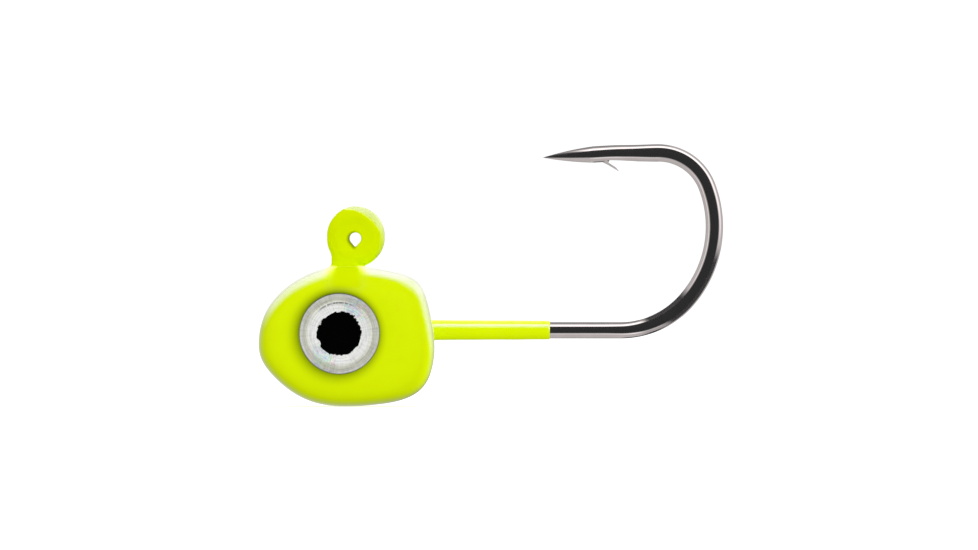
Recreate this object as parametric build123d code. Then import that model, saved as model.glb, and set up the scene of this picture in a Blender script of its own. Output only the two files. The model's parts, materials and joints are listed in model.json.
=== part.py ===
from build123d import *

# A fixed jig head for soft baits: a lead head cast round a right-angle jig hook, under one film of paint, with a
# domed eye glued into each side. The origin is the centre of the line-tie hole. +X runs along the shank towards the
# bend, +Z is up, and the hook lies in the plane y = 0. The fish faces -X, so its left side is -Y. All sizes are in mm.

import os
from math import atan2, cos, hypot, pi, radians, sin, sqrt, tan

# Wire, line-tie ring and neck
WIRE_R = 0.61
RING_R = 1.45  # centreline of the ring
RING_LIFT = 0.24  # straight run between the ring's lower and upper arcs
RING_LOW_Z = -0.03  # centre of the ring's lower arc
TAG_END_DEG = 96.0  # how far the cut end runs on below the ring's rear side
NECK_X = -1.08  # centreline of the wire that goes down into the head
NECK_LEAN_DEG = 25.0  # lean of the wire where the ring turns into the neck

# Shank, bend and point
SHANK_Z = -6.90
ELBOW_R = 1.60  # right-angle bend inside the head
BEND_X = 19.87  # where the straight shank ends
BEND_ARCS = ((6.60, 48.5), (8.40, 62.5), (3.90, 69.5))  # radius and sweep, from shank to point leg
BEND_WIRE_R = 0.65  # forging spreads the wire in the plane of the bend
FORGED_HALF = 0.52  # and thins it across
FORGE_FROM_X, FORGE_TO_X = 17.5, 22.5
FADE_LENGTH = 2.2  # back to the plain wire on the point leg
LEG_DROP_X, LEG_DROP_R, LEG_DROP_DEG = 19.9, 22.0, 3.0  # the point is bent a little towards the shank
POINT_TIP_X = 14.10
POINT_LENGTH = 3.75
POINT_MID_R = 0.39  # half way along the taper
POINT_TIP_R = 0.02

# Barb, cut from the underside of the point leg
BARB_FRONT_X, BARB_NOTCH_X, BARB_TIP_X = 18.44, 18.99, 19.74
BARB_TIP_Z = 5.03
BARB_ROOT_HALF, BARB_TIP_HALF = 0.36, 0.05  # half widths, across the wire
BARB_THICKNESS = 0.19
BARB_BURIED = 0.15  # how far its root runs on inside the wire
SHAVE_DEPTH, SHAVE_LENGTH = 0.10, 2.2  # the shallow cut that the barb came from

# Painted head: side outline in (x, z), from the nose over the top
OUTLINE = (
    (-7.25, -8.20),
    (-5.95, -4.40),
    (-2.60, -2.35),
    (2.20, -2.35),
    (4.80, -3.40),
    (5.50, -5.25),
    (5.90, -8.70),
    (5.20, -11.00),
    (0.80, -12.55),
    (-3.55, -12.15),
    (-6.40, -10.05),
)
HEAD_BACK_X = 5.86  # where the shank comes out
HEAD_HALF = 3.40  # half thickness at the crown of each side, before the eye sockets
CROWN = 5.0  # exponent of the cross-section: 2 is an ellipse, more is flatter with rounder edges
CROWN_STEPS = 7  # sections from the middle to each side
LAST_SECTION_DEG = 84.0

# Paint
PAINT = 0.14
SOCKET_PAINT = 0.12
PAINT_END_X = 14.60
PAINT_END_THICKNESS = 0.08
SKIRT_OVALS = (
    (-1.20, -0.50, 1.35, 0.72),
    (-1.75, -0.55, 1.28, 0.75),
    (-2.10, -0.57, 1.27, 0.80),
    (-2.32, -0.52, 1.72, 0.98),
    (-2.60, -0.50, 1.85, 1.20),
)  # height, middle in x, half length and half width of the paint that fills in below the ring

# Line-tie hole left in the paint: round, with a narrow tail below
HOLE_R = 0.44
HOLE_TAIL_Z = -0.58
WEB_HALF = 0.50  # half thickness of the paint film that spans the ring

# Eyes
EYE_X, EYE_Z = -1.18, -7.14
EYE_R = 3.00
SOCKET_GAP = 0.04
SOCKET_FLOOR = 3.00  # distance of the painted socket floor from the middle
ADHESIVE_R, ADHESIVE_T = 2.85, 0.10
FOIL_R, FOIL_T = 2.98, 0.10
PUPIL_R, PUPIL_T = 1.61, 0.04
PUPIL_TEETH, TOOTH_HALF_HEIGHT = 26, 0.035
DOME_EDGE = 0.16  # height of the dome's upright edge
DOME_SHOULDER_R, DOME_SHOULDER_H = 2.45, 0.72
DOME_H = 0.94
PRINT_BASE = SOCKET_FLOOR + ADHESIVE_T + FOIL_T  # top of the foil

BOTTOM_UP = (Align.CENTER, Align.CENTER, Align.MIN)


def chain(start, heading_deg, moves):
    """Tangent lines and arcs in (x, z): ("line", length) or ("arc", radius, signed degrees)."""
    edges = []
    at = Vector(*start)
    heading = heading_deg
    for kind, size, *turn in moves:
        direction = Vector(cos(radians(heading)), sin(radians(heading)))
        if kind == "line":
            edge = Line(at, at + direction * size)
        else:
            edge = JernArc(start=at, tangent=direction, radius=size, arc_size=turn[0])
            heading += turn[0]
        edges.append(edge)
        at = edge @ 1
    return [Plane.XZ * edge for edge in edges], at, heading


def towards(heading_deg):
    return Vector(cos(radians(heading_deg)), 0, sin(radians(heading_deg)))


def disc_on(path, place, radius):
    """A round profile across a path, at its start (0) or end (1)."""
    return (Plane(origin=path @ place, z_dir=path % place) * Circle(radius)).face()


def round_wire(edges, radius):
    path = Wire(edges)
    return Solid.sweep(disc_on(path, 0, radius), path)


def make_shank():
    """The round wire: cut end, ring, neck, elbow inside the head, and the straight shank."""
    tag = radians(-TAG_END_DEG)
    start = (RING_R * cos(tag), RING_LOW_Z + RING_R * sin(tag))
    lean = radians(NECK_LEAN_DEG)
    sway_r = (NECK_X + RING_R * cos(lean)) / (1 - cos(lean))
    ring = [
        ("arc", RING_R, TAG_END_DEG),
        ("line", RING_LIFT),
        ("arc", RING_R, 180),
        ("line", RING_LIFT),
        ("arc", RING_R, NECK_LEAN_DEG),
        ("arc", sway_r, -NECK_LEAN_DEG),
    ]
    upper, neck_top, heading = chain(start, 90 - TAG_END_DEG, ring)
    neck_length = neck_top.Y - (SHANK_Z + ELBOW_R)
    shank_length = BEND_X - (neck_top.X + ELBOW_R)
    rest = [("line", neck_length), ("arc", ELBOW_R, 90), ("line", shank_length)]
    lower, _, _ = chain((neck_top.X, neck_top.Y), heading, rest)
    return round_wire(upper + lower, WIRE_R)


def make_bend():
    """The arcs of the bend, spreading to the forged width in the first, with where and how they end."""
    solids = []
    at = Vector(BEND_X, SHANK_Z)
    heading = 0.0
    start_r = WIRE_R
    for radius, sweep_deg in BEND_ARCS:
        edges, at, heading = chain((at.X, at.Y), heading, [("arc", radius, sweep_deg)])
        path = Wire(edges)
        profiles = [disc_on(path, 0, start_r), disc_on(path, 1, BEND_WIRE_R)]
        solids.append(Solid.sweep_multi(profiles, path))
        start_r = BEND_WIRE_R
    return solids, at, heading


def make_point_leg(bend_end, heading):
    """From the bend to the tip: fade to the plain wire, a slight drop, and the tapered point."""
    start = Vector(bend_end.X, 0, bend_end.Y)
    fade = Plane(origin=start, z_dir=towards(heading)) * Cone(BEND_WIRE_R, WIRE_R, FADE_LENGTH, align=BOTTOM_UP)
    here = start + towards(heading) * FADE_LENGTH
    run = (LEG_DROP_X - here.X) / towards(heading).X
    edges, dropped, down = chain((here.X, here.Z), heading, [("line", run), ("arc", LEG_DROP_R, LEG_DROP_DEG)])
    reach = (POINT_TIP_X - dropped.X) / towards(down).X
    straight, shoulder, _ = chain((dropped.X, dropped.Y), down, [("line", reach - POINT_LENGTH)])
    leg = round_wire(edges + straight, WIRE_R)
    flank = ThreePointArc((WIRE_R, 0), (POINT_MID_R, POINT_LENGTH / 2), (POINT_TIP_R, POINT_LENGTH))
    core = Polyline((POINT_TIP_R, POINT_LENGTH), (0, POINT_LENGTH), (0, 0), (WIRE_R, 0))
    taper = revolve(Plane.XZ * make_face([flank, core]), Axis.Z)
    point = Plane(origin=(shoulder.X, 0, shoulder.Y), z_dir=towards(down)) * taper
    return [fade, leg, point]


def slab(outline, half):
    """A solid with the given outline in (x, z), reaching half to each side of the middle."""
    return extrude(Plane.XZ * make_face(Polyline(*outline, close=True)), amount=half, both=True)


def plan_column(half_outline, low_z, high_z):
    """A solid whose plan is mirrored about the middle, from its outline on one side in (x, y)."""
    outline = list(half_outline) + [(x, -y) for x, y in reversed(half_outline)]
    face = make_face(Polyline(*outline, close=True))
    return Pos(0, 0, low_z) * extrude(face, amount=high_z - low_z)


def make_barb(underside_z):
    """The sliver lifted from the wire: a wedge in side view, narrowing to its tip in plan."""
    lower_root = (BARB_NOTCH_X, underside_z - BARB_THICKNESS)
    slope = atan2(lower_root[1] - BARB_TIP_Z, BARB_TIP_X - lower_root[0])
    upper_root = (BARB_NOTCH_X + BARB_THICKNESS * sin(slope), underside_z)
    buried_z = underside_z + BARB_BURIED
    side = [
        (BARB_FRONT_X, underside_z),
        lower_root,
        (BARB_TIP_X, BARB_TIP_Z),
        upper_root,
        (BARB_NOTCH_X, buried_z),
        (BARB_FRONT_X, buried_z),
    ]
    plan = [(BARB_FRONT_X, BARB_ROOT_HALF), (BARB_NOTCH_X, BARB_ROOT_HALF), (BARB_TIP_X, BARB_TIP_HALF)]
    return slab(side, BARB_ROOT_HALF) & plan_column(plan, BARB_TIP_Z, buried_z)


def make_shave(underside_z):
    """The metal that was lifted to make the barb, gone from the wire behind it."""
    clear_z = underside_z - WIRE_R
    end_x = BARB_NOTCH_X + SHAVE_LENGTH
    side = [
        (BARB_NOTCH_X, clear_z),
        (BARB_NOTCH_X, underside_z + SHAVE_DEPTH),
        (end_x, underside_z),
        (end_x, clear_z),
    ]
    return slab(side, WIRE_R)


def make_forging_die():
    """The space between the forging flats, which close in from the shank to the bend."""
    end_x = BEND_X + 10
    plan = [
        (RING_R - end_x, BEND_WIRE_R),
        (FORGE_FROM_X, BEND_WIRE_R),
        (FORGE_FROM_X, WIRE_R),
        (FORGE_TO_X, FORGED_HALF),
        (end_x, FORGED_HALF),
    ]
    return plan_column(plan, SHANK_Z - end_x, end_x)


def make_hook():
    """One piece of wire from the ring's cut end to the point."""
    bend, bend_end, heading = make_bend()
    underside_z = bend_end.Y - WIRE_R - (bend_end.X - BARB_NOTCH_X) * tan(radians(heading - 180))
    wire = make_shank().fuse(*bend, *make_point_leg(bend_end, heading))
    return (wire - make_shave(underside_z) + make_barb(underside_z)) & make_forging_die()


def head_section(share, y, inset):
    """The head's outline at distance y from the middle, shrunk towards the eye."""
    points = []
    for x, z in OUTLINE:
        reach = hypot(x - EYE_X, z - EYE_Z)
        scale = share * (reach - inset) / reach
        points.append(Vector(EYE_X + (x - EYE_X) * scale, y, EYE_Z + (z - EYE_Z) * scale))
    return Wire(Edge.make_spline(points, periodic=True))


def make_head_blank(inset):
    """The rounded head, without sockets. Each side is a superellipse crown over the outline."""
    sections = []
    for step in range(-CROWN_STEPS, CROWN_STEPS + 1):
        angle = radians(LAST_SECTION_DEG) * step / CROWN_STEPS
        rise = (HEAD_HALF - inset) * abs(sin(angle)) ** (2 / CROWN)
        share = cos(angle) ** (2 / CROWN)
        sections.append(head_section(share, rise if step > 0 else -rise, inset))
    return Solid.make_loft(sections)


def eye_plane(side, distance):
    """A plane centred on the eye and facing outwards. side is -1 for the left eye and 1 for the right."""
    return Plane(origin=(EYE_X, side * distance, EYE_Z), x_dir=(1, 0, 0), z_dir=(0, side, 0))


def eye_disc(side, distance, radius, thickness):
    return eye_plane(side, distance) * extrude(Circle(radius), amount=thickness)


def make_sockets(extra):
    """Both eye recesses, made wider and deeper than the painted ones by extra."""
    radius = EYE_R + SOCKET_GAP + extra
    return [eye_disc(side, SOCKET_FLOOR - extra, radius, HEAD_HALF) for side in (-1, 1)]


def make_casting_blank():
    """The lead head with its sockets, still solid where the hook runs."""
    blank = make_head_blank(PAINT)
    for socket in make_sockets(SOCKET_PAINT):
        blank = blank - socket
    return blank


def make_line_hole():
    """A round bore with tangent sides that meet at the end of its tail."""
    touch = -atan2(HOLE_R, sqrt(HOLE_TAIL_Z**2 - HOLE_R**2))
    x, z = HOLE_R * cos(touch), HOLE_R * sin(touch)
    bore = ThreePointArc((x, z), (0, HOLE_R), (-x, z))
    tail = Polyline((-x, z), (0, HOLE_TAIL_Z), (x, z))
    return extrude(Plane.XZ * make_face([bore, tail]), amount=WIRE_R + PAINT, both=True)


def make_ring_skin():
    """Paint all round the ring."""
    loop = [("line", RING_LIFT), ("arc", RING_R, 180)] * 2
    edges, _, _ = chain((RING_R, RING_LOW_Z), 90.0, loop)
    return round_wire(edges, WIRE_R + PAINT)


def make_ring_web():
    """The film of paint that spans the ring."""
    middle = Pos(0, RING_LOW_Z + RING_LIFT / 2) * Circle(RING_R)
    return extrude(Plane.XZ * middle, amount=WEB_HALF, both=True)


def make_skirt():
    """Paint that fills the crevice between the ring and the top of the head."""
    return loft([Pos(x, 0, z) * Ellipse(half_x, half_y) for z, x, half_x, half_y in SKIRT_OVALS])


def make_shank_skin():
    """Paint on the shank, thinning towards its end. It starts well inside the head."""
    at_head = WIRE_R + PAINT
    at_end = WIRE_R + PAINT_END_THICKNESS
    start_x = NECK_X + ELBOW_R
    thinning = (at_head - at_end) / (PAINT_END_X - HEAD_BACK_X)
    start_r = at_head + thinning * (HEAD_BACK_X - start_x)
    cone = Cone(start_r, at_end, PAINT_END_X - start_x, align=BOTTOM_UP)
    return Plane(origin=(start_x, 0, SHANK_Z), z_dir=(1, 0, 0)) * cone


def make_paint_coat(casting_blank, hook):
    """The whole film as one piece, hollow where the lead and the hook are."""
    coat = make_head_blank(0.0) + make_ring_skin() + make_ring_web() + make_skirt() + make_shank_skin()
    for socket in make_sockets(0.0):
        coat = coat - socket
    return coat - casting_blank - hook - make_line_hole()


def make_pupil(side):
    """The printed pupil, with the finely toothed edge of a dotted print."""
    points = []
    for step in range(4 * PUPIL_TEETH):
        angle = 2 * pi * step / (4 * PUPIL_TEETH)
        radius = PUPIL_R + TOOTH_HALF_HEIGHT * sin(PUPIL_TEETH * angle)
        points.append((radius * cos(angle), radius * sin(angle)))
    return eye_plane(side, PRINT_BASE) * extrude(make_face(Polyline(*points, close=True)), amount=PUPIL_T)


def make_dome(side):
    """The clear dome, moulded over the pupil."""
    outline = [
        Line((0, 0), (EYE_R, 0)),
        Line((EYE_R, 0), (EYE_R, DOME_EDGE)),
        Spline(
            (EYE_R, DOME_EDGE),
            (DOME_SHOULDER_R, DOME_SHOULDER_H),
            (0, DOME_H),
            tangents=((0, 1), (-1, 0)),
            tangent_scalars=(0.6, 1.6),
        ),
        Line((0, DOME_H), (0, 0)),
    ]
    cap = revolve(Plane.XZ * make_face(outline), Axis.Z)
    return eye_plane(side, PRINT_BASE) * cap - make_pupil(side)


def make_eye(name, side):
    """The four layers of one eye, from the socket outwards."""
    return {
        f"{name}_eye_adhesive": eye_disc(side, SOCKET_FLOOR, ADHESIVE_R, ADHESIVE_T),
        f"{name}_eye_foil": eye_disc(side, SOCKET_FLOOR + ADHESIVE_T, FOIL_R, FOIL_T),
        f"{name}_eye_pupil": make_pupil(side),
        f"{name}_eye_dome": make_dome(side),
    }


hook = make_hook()
casting_blank = make_casting_blank()
nodes = {
    "hook": hook,
    "head_casting": casting_blank - hook,
    "paint_coat": make_paint_coat(casting_blank, hook),
    **make_eye("left", -1),
    **make_eye("right", 1),
}

os.makedirs("parts", exist_ok=True)
for node, shape in nodes.items():
    export_step(shape, f"parts/{node}.step")
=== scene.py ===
import json
from math import cos, hypot, pi, radians, sin

import bmesh
import bpy
import numpy as np
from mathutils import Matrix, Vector


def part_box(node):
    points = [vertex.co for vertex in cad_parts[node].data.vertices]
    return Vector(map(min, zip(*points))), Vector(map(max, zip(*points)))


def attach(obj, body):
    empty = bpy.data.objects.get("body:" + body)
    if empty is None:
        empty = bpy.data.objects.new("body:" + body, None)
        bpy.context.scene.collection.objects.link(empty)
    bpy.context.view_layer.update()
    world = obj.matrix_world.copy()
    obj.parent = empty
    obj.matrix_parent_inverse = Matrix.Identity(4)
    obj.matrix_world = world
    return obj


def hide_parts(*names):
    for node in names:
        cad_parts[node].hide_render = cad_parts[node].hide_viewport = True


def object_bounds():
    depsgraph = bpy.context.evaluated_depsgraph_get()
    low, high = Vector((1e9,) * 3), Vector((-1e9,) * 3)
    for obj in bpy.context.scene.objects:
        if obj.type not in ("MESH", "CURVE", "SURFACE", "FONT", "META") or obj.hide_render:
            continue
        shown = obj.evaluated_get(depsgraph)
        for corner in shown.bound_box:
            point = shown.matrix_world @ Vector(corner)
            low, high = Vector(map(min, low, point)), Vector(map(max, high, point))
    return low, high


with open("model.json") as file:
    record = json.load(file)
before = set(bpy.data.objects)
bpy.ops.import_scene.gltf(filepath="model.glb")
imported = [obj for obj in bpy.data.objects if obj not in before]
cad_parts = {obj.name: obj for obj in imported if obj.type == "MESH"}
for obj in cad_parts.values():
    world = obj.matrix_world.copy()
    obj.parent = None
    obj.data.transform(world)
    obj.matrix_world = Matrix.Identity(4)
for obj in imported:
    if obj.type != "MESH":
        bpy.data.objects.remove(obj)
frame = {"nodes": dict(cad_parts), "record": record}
cad_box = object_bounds()

# The looks of a painted jig head. Shapes are worked out in millimetres and written in metres.
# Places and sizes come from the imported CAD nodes; only what the nodes don't hold is named below.

MM = 0.001
LEFT, RIGHT = -1, 1  # sides of the head, along Y

# Head, as in the CAD
HEAD_HALF = 3.40  # half thickness before the sockets
CROWN = 5.0  # exponent of the cross-section
OUTLINE_WAVES = 20  # harmonics that carry the side outline
SEAM_HEIGHT, SEAM_HALF = 0.02, 0.14  # trace of the mould's parting line under the paint
PAINT = 0.14  # thickness of the film on the head

# Wire, as in the CAD
WIRE_R = 0.61
RING_LIFT, RING_LOW_Z = 0.24, -0.03  # straight stretch between the half rings, and where it starts
RING_MIDDLE_Z = RING_LOW_Z + RING_LIFT / 2
TAG_END_DEG = 96.0
NECK_X, NECK_LEAN_DEG, ELBOW_R = -1.08, 25.0, 1.60
BEND_X = 19.87
BEND_ARCS = ((6.60, 48.5), (8.40, 62.5), (3.90, 69.5))  # radius and turn in degrees
BEND_WIRE_R, FORGED_HALF = 0.65, 0.52
LEG_DROP_X, LEG_DROP_R, LEG_DROP_DEG = 19.9, 22.0, 3.0
POINT_TIP_X, POINT_LENGTH, POINT_MID_R, POINT_TIP_R = 14.10, 3.75, 0.39, 0.015


def box_mm(node):
    return np.array(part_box(node)) / MM


hook_low = box_mm("hook")[0]
foil_low, foil_high = box_mm("left_eye_foil")
adhesive_high = box_mm("left_eye_adhesive")[1]
dome_low, dome_high = box_mm("left_eye_dome")
pupil_low, pupil_high = box_mm("left_eye_pupil")
paint_low, paint_high = box_mm("paint_coat")

RING_R = -hook_low[0] - WIRE_R
SHANK_Z = hook_low[2] + WIRE_R
PAINT_END_X = paint_high[0]
EYE_X, _, EYE_Z = (dome_low + dome_high) / 2
EYE_R = (dome_high[0] - dome_low[0]) / 2
FOIL_R = (foil_high[0] - foil_low[0]) / 2
PUPIL_R = (pupil_high[0] - pupil_low[0]) / 2
SOCKET_FLOOR = -adhesive_high[1]
FOIL_BASE, FOIL_TOP = -foil_high[1], -foil_low[1]
DOME_TOP = -dome_low[1]
HOLE_R = next(m["dims"]["r_mm"] for m in frame["record"]["mounts"] if m["name"] == "line_tie")

# -------- nodes and materials


def add_node(tree, kind, inputs=None, **settings):
    """A shader node with its settings and inputs. An input is a value or another node's output socket."""
    node = tree.nodes.new(f"ShaderNode{kind}")
    for name, value in settings.items():
        setattr(node, name, value)
    for name, value in (inputs or {}).items():
        if isinstance(value, bpy.types.NodeSocket):
            tree.links.new(value, node.inputs[name])
        else:
            node.inputs[name].default_value = value
    return node


def result(tree, kind, inputs=None, **settings):
    """The first output of a new node."""
    return add_node(tree, kind, inputs, **settings).outputs[0]


def maths(tree, operation, a, b=0.0, clamp=False):
    return result(tree, "Math", {0: a, 1: b}, operation=operation, use_clamp=clamp)


def plus(tree, a, b):
    return maths(tree, "ADD", a, b)


def one_minus(tree, value):
    return maths(tree, "SUBTRACT", 1.0, value)


def product(tree, *factors):
    total = factors[0]
    for factor in factors[1:]:
        total = maths(tree, "MULTIPLY", total, factor)
    return total


def ramp(tree, factor, stops, smooth=False):
    """A colour ramp through (position, colour) stops. A plain number stands for a grey."""
    node = add_node(tree, "ValToRGB", {"Fac": factor})
    node.color_ramp.interpolation = "EASE" if smooth else "LINEAR"
    elements = node.color_ramp.elements
    while len(elements) < len(stops):
        elements.new(0.5)
    for element, (position, colour) in zip(elements, stops):
        element.position = position
        element.color = (*colour, 1) if isinstance(colour, tuple) else (colour, colour, colour, 1)
    return node.outputs["Color"]


def mix_colour(tree, factor, a, b, blend="MIX"):
    node = add_node(tree, "Mix", data_type="RGBA", blend_type=blend)
    for index, value in ((0, factor), (6, a), (7, b)):
        if isinstance(value, bpy.types.NodeSocket):
            tree.links.new(value, node.inputs[index])
        else:
            node.inputs[index].default_value = value if index == 0 else (*value, 1)
    return node.outputs[2]


def noise(tree, scale, detail=2.0, roughness=0.5):
    """Three-dimensional noise in the row's frame. scale is features per millimetre."""
    place = add_node(tree, "TexCoord").outputs["Object"]
    inputs = {"Vector": place, "Scale": scale / MM, "Detail": detail, "Roughness": roughness}
    return add_node(tree, "TexNoise", inputs).outputs["Fac"]


def bump(tree, height, depth_mm, strength=1.0):
    return result(tree, "Bump", {"Height": height, "Distance": depth_mm * MM, "Strength": strength})


def new_material(name):
    material = bpy.data.materials.new(name)
    material.use_nodes = True
    tree = material.node_tree
    tree.nodes.clear()
    return material, tree


def finish_material(material, shader):
    output = add_node(material.node_tree, "OutputMaterial")
    material.node_tree.links.new(shader, output.inputs["Surface"])
    return material


def principled(tree, inputs):
    return add_node(tree, "BsdfPrincipled", inputs).outputs["BSDF"]


def mix_shaders(tree, share, first, second):
    return result(tree, "MixShader", {0: share, 1: first, 2: second})


def edge_on(tree):
    """0 where the surface faces the viewer, rising to 1 at its outline."""
    return add_node(tree, "LayerWeight", {"Blend": 0.5}).outputs["Facing"]


def attribute(tree, name):
    return add_node(tree, "Attribute", attribute_name=name).outputs["Fac"]


def polar_and_azimuth(tree, direction):
    """A direction's angle away from the camera side in half turns, and its turn about the line of sight."""
    parts = add_node(tree, "SeparateXYZ", {0: direction}).outputs
    azimuth = maths(tree, "ARCTAN2", parts["Z"], parts["X"])
    azimuth = plus(tree, maths(tree, "DIVIDE", azimuth, 2 * pi), 0.5)
    polar = maths(tree, "ARCCOSINE", product(tree, parts["Y"], -1.0))
    return maths(tree, "DIVIDE", polar, pi), azimuth


def round_ramp(tree, azimuth, *table):
    """A value for each turn about the line of sight. The table is in degrees: 0 is along +X and 90 is up."""
    stops = [((degrees / 360 + 0.5) % 1.0 if degrees < 180 else 1.0, value) for degrees, value in table]
    return ramp(tree, azimuth, stops)


def depth_ramp(tree, polar, *table):
    """A value for each angle away from the camera side. The table is in degrees."""
    return ramp(tree, polar, [(degrees / 180, value) for degrees, value in table])


PANEL_SLOPE, PANEL_STRENGTH = 5.0, 14.5  # steepness of the overhead panel's edge, and its brightness
WALL_SLOPE = 24.0  # steepness of the edge between the metal's dark front and the walls


def overhead_panel(tree, polar, azimuth):
    """1 where a direction meets the big soft panel overhead, that wraps round to the right."""
    edge = [(-60, 0.72), (-40, 0.68), (-9, 0.58), (7, 0.45), (16, 0.39), (30, 0.33), (50, 0.265), (65, 0.30)]
    edge += [(80, 0.35), (95, 0.32), (107, 0.28), (122, 0.30), (145, 0.39), (160, 0.44)]
    past_edge = maths(tree, "SUBTRACT", polar, round_ramp(tree, azimuth, *edge))
    inside = maths(tree, "MULTIPLY", past_edge, PANEL_SLOPE, clamp=True)
    side = [(-28, 0.0), (-8, 0.20), (8, 0.48), (26, 0.85), (52, 0.80), (74, 1.0), (92, 1.0)]
    side += [(110, 0.84), (122, 0.72), (146, 0.50), (158, 0.18), (168, 0.0)]
    return product(tree, inside, round_ramp(tree, azimuth, *side))


def paint_material():
    """Gloss fluorescent chartreuse, with pigment drift, faint orange peel, painted shade round the eyes and
    the hole, and painted light and shade on the rims.
    """
    material, tree = new_material("fluorescent_paint")
    drift = ramp(tree, noise(tree, 0.35), [(0.35, (0.62, 0.775, 0.0)), (0.65, (0.64, 0.80, 0.0))])
    pooled = attribute(tree, "pooled")
    sleeve = attribute(tree, "sleeve")
    facing = edge_on(tree)
    past_stripe = product(tree, sleeve, ramp(tree, facing, [(0.31, 0.0), (0.41, 0.88)]))
    dull = maths(tree, "MAXIMUM", attribute(tree, "dull"), past_stripe)
    mirrored = add_node(tree, "TexCoord").outputs["Reflection"]
    polar, azimuth = polar_and_azimuth(tree, mirrored)
    glare = overhead_panel(tree, polar, azimuth)
    # Painted fill light on the lower right rim, keyed to the mirrored direction
    painted_fill = round_ramp(tree, azimuth, (-80, 0.0), (-40, 0.75), (0, 1.0), (25, 0.7), (50, 0.0))
    glare = product(tree, glare, one_minus(tree, dull))
    # Painted light and shade in the pigment: weaker under the mirrored panel, darker towards the outline on
    # the rest, and lighter on the rim that light from the lower right fills
    under_glare = ramp(
        tree,
        facing,
        [(0.0, 0.95), (0.07, 0.86), (0.13, 0.54), (0.29, 0.38), (0.50, 0.27), (0.8, 0.20), (1.0, 0.30)],
    )
    rim_shade_and_fill = ramp(tree, facing, [(0.05, 1.0), (0.23, 0.94), (0.48, 0.82), (1.0, 0.60)])
    rim_shade_and_fill = mix_colour(tree, sleeve, rim_shade_and_fill, (1.0, 1.0, 1.0))
    painted_fill = product(tree, painted_fill, ramp(tree, facing, [(0.10, 0.0), (0.36, 1.0)]))
    rim_shade_and_fill = mix_colour(tree, painted_fill, rim_shade_and_fill, (1.18, 1.18, 1.18))
    # Painted shade: where the paint is dull its colour is a little darker too
    share = mix_colour(tree, dull, mix_colour(tree, glare, rim_shade_and_fill, under_glare), (0.91, 0.91, 0.91))
    # Painted shade round the eyes and along the hole's left lip, in the colour and in the glow
    colour = mix_colour(tree, pooled, drift, (0.10, 0.155, 0.0))
    colour = mix_colour(tree, 1.0, colour, share, "MULTIPLY")
    # The glow is painted light standing in for fluorescence; it carries the same painted light and shade as
    # the colour
    glow = mix_colour(tree, pooled, (0.62, 0.77, 0.0), (0.06, 0.10, 0.0))
    glow = mix_colour(tree, 1.0, glow, share, "MULTIPLY")
    peel = plus(tree, noise(tree, 1.6, 3.0), product(tree, noise(tree, 9.0), 0.15))
    fine = ramp(tree, noise(tree, 2.5), [(0.3, 0.05), (0.7, 0.09)])
    inputs = {
        "Base Color": colour,
        "Roughness": plus(tree, fine, product(tree, dull, 0.4)),
        "Specular IOR Level": maths(tree, "SUBTRACT", 0.5, product(tree, dull, 0.4995)),
        "IOR": 1.50,
        "Emission Color": glow,
        # Painted light: the glow is a little stronger on the sleeve
        "Emission Strength": plus(tree, 0.16, product(tree, sleeve, 0.05)),
        "Normal": bump(tree, peel, 0.012, 0.5),
    }
    return finish_material(material, principled(tree, inputs))


def hook_material():
    """Black nickel, with a painted reflection: near black seen straight on and bright towards the edges, with
    fine drawing lines.
    """
    material, tree = new_material("hook_black_nickel")
    facing = edge_on(tree)
    # Painted reflection: the base colour is dark where the metal faces the viewer and bright towards its
    # outline
    painted_reflection_tint = [(0.0, (0.14, 0.13, 0.14)), (0.05, (0.22, 0.21, 0.21)), (0.13, (0.97, 0.88, 0.87))]
    painted_reflection_tint = ramp(tree, facing, painted_reflection_tint)
    wear = ramp(tree, noise(tree, 1.2, 4.0), [(0.35, 0.93), (0.7, 1.0)])
    inputs = {
        "Base Color": mix_colour(tree, 1.0, painted_reflection_tint, wear, "MULTIPLY"),
        "Metallic": 1.0,
        "Roughness": ramp(tree, noise(tree, 4.0, 3.0), [(0.3, 0.04), (0.7, 0.08)]),
        "Normal": bump(tree, noise(tree, 6.0, 3.0), 0.0015, 0.4),
    }
    metal = principled(tree, inputs)
    haze = result(tree, "BsdfDiffuse", {"Color": (0.78, 0.76, 0.78, 1)})
    return finish_material(material, mix_shaders(tree, 0.032, metal, haze))


def lead_material():
    """Dull cast lead with a grainy skin and grey-blue bloom."""
    material, tree = new_material("lead")
    bloom = ramp(tree, noise(tree, 0.8, 5.0), [(0.3, (0.20, 0.21, 0.23)), (0.7, (0.34, 0.35, 0.37))])
    inputs = {
        "Base Color": bloom,
        "Metallic": 0.8,
        "Roughness": ramp(tree, noise(tree, 5.0, 4.0), [(0.3, 0.45), (0.7, 0.65)]),
        "Normal": bump(tree, noise(tree, 8.0, 5.0), 0.03),
    }
    return finish_material(material, principled(tree, inputs))


def adhesive_material():
    """White foam tape, matt with open cells."""
    material, tree = new_material("eye_adhesive")
    cells = noise(tree, 10.0, 4.0)
    inputs = {
        "Base Color": ramp(tree, cells, [(0.3, (0.62, 0.61, 0.56)), (0.7, (0.80, 0.79, 0.75))]),
        "Roughness": 0.8,
        "Normal": bump(tree, cells, 0.03),
    }
    return finish_material(material, principled(tree, inputs))


DOTTED_RING = 0.742  # share of the foil's radius
FOIL_TICKS = 220  # embossed radial lines


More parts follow.
